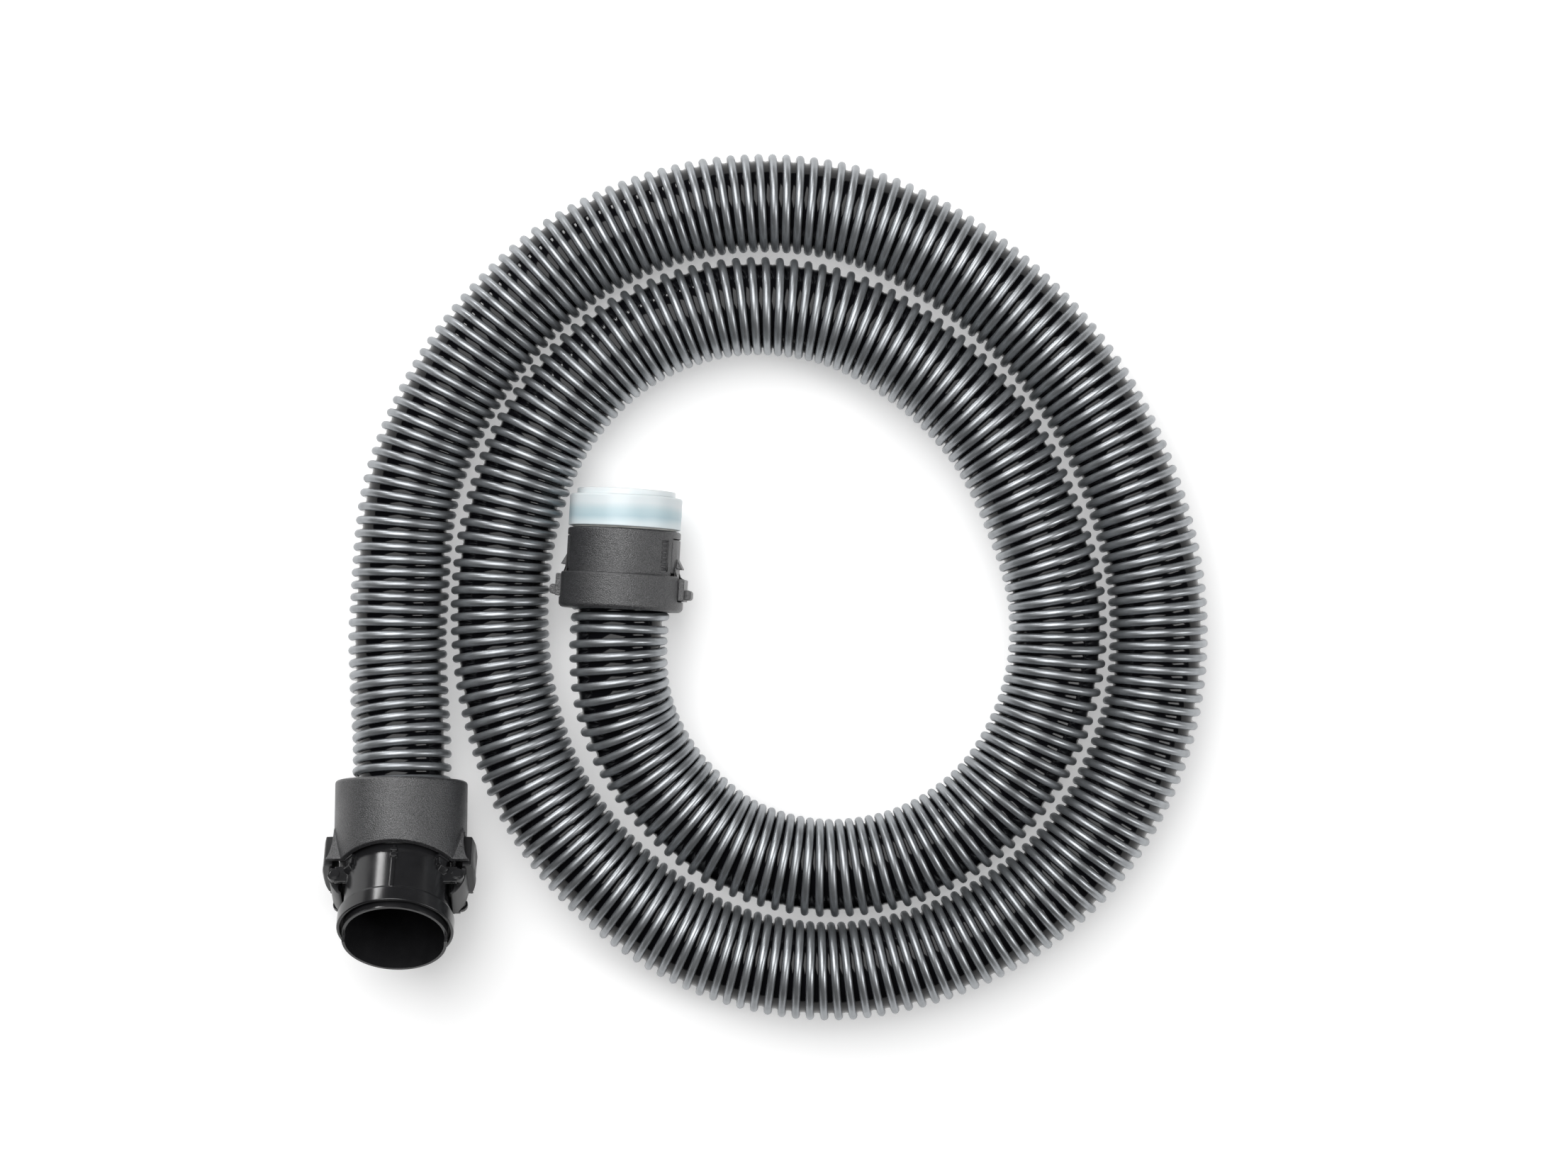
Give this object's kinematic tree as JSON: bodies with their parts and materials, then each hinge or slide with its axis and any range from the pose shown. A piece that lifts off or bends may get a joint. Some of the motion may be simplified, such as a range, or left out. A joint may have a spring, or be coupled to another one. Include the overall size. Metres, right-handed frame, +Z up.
{
  "type": "vacuum cleaner hose",
  "caption": "Ribbed suction hose in a loose coil, with a swivelling elbow and nozzle with two release levers at one end and a swivelling snap sleeve at the other.",
  "frame": {"origin": "on the floor, under the middle of the whole object's box", "axes": "+Z up from the floor; -Y the way that the machine end's nozzle leaves the coil; the coil runs clockwise seen from above, from the machine end to the handle end inside it"},
  "size_m": [0.4021, 0.3957, 0.0782],
  "materials": {
    "ribbed_hose": "satin",
    "cuff_black": "satin",
    "cuff_grey": "satin",
    "seal_rubber": "matte",
    "translucent_ring": "satin",
    "seal_felt": "matte",
    "grained_plastic": "fine grain",
    "bush_plastic": "satin",
    "black_plastic": "gloss",
    "pin_steel": "satin",
    "spring_steel": "satin",
    "lever_plastic": "semi-gloss"
  },
  "bodies": {
    "hose_body": {"hose": "ribbed_hose", "machine_cuff": "cuff_black", "machine_cuff_seal": "seal_rubber", "handle_cuff": "cuff_grey", "end_ring": "translucent_ring", "end_seal": "seal_felt"},
    "machine_end": {"elbow_shroud": "grained_plastic", "swivel_bush": "bush_plastic", "elbow_duct": "black_plastic", "nozzle": "black_plastic", "port_seal": "seal_rubber", "lever_pin_left": "pin_steel", "lever_pin_right": "pin_steel", "lever_spring_left": "spring_steel", "lever_spring_right": "spring_steel"},
    "lever_left": {"release_lever_left": "lever_plastic"},
    "lever_right": {"release_lever_right": "lever_plastic"},
    "handle_end": {"handle_sleeve": "grained_plastic", "handle_collar": "grained_plastic"},
    "snap_left": {"latch_left": "grained_plastic"},
    "snap_right": {"latch_right": "grained_plastic"}
  },
  "joints": [
    {"name": "machine_swivel", "type": "hinge", "parent": "hose_body", "child": "machine_end", "pos_m": [-0.167, -0.088, 0.0298], "axis": [0, -0.9903, 0.1392], "continuous": true},
    {"name": "lever_left_press", "type": "hinge", "parent": "machine_end", "child": "lever_left", "pos_m": [-0.1944, -0.13636, 0.04442], "axis": [0, -0.6157, -0.788], "range_deg": [0, 6], "stiffness_Nm_per_rad": 1.36, "springref_deg": -2.86, "deforming": ["lever_spring_left"]},
    {"name": "lever_right_press", "type": "hinge", "parent": "machine_end", "child": "lever_right", "pos_m": [-0.1396, -0.13636, 0.04442], "axis": [0, 0.6157, 0.788], "range_deg": [0, 6], "stiffness_Nm_per_rad": 1.36, "springref_deg": -2.86, "deforming": ["lever_spring_right"]},
    {"name": "handle_swivel", "type": "hinge", "parent": "hose_body", "child": "handle_end", "pos_m": [-0.0675, -0.01, 0.02875], "axis": [0.0523, 0.9983, -0.0262], "continuous": true},
    {"name": "snap_left_press", "type": "hinge", "parent": "handle_end", "child": "snap_left", "pos_m": [-0.09066, 0.0243, 0.02592], "axis": [-0.077, 0.0302, 0.9966], "range_deg": [0, 4.5], "stiffness_Nm_per_rad": 2.8},
    {"name": "snap_right_press", "type": "hinge", "parent": "handle_end", "child": "snap_right", "pos_m": [-0.04088, 0.02179, 0.02984], "axis": [0.077, -0.0302, -0.9966], "range_deg": [0, 4.5], "stiffness_Nm_per_rad": 2.8}
  ]
}
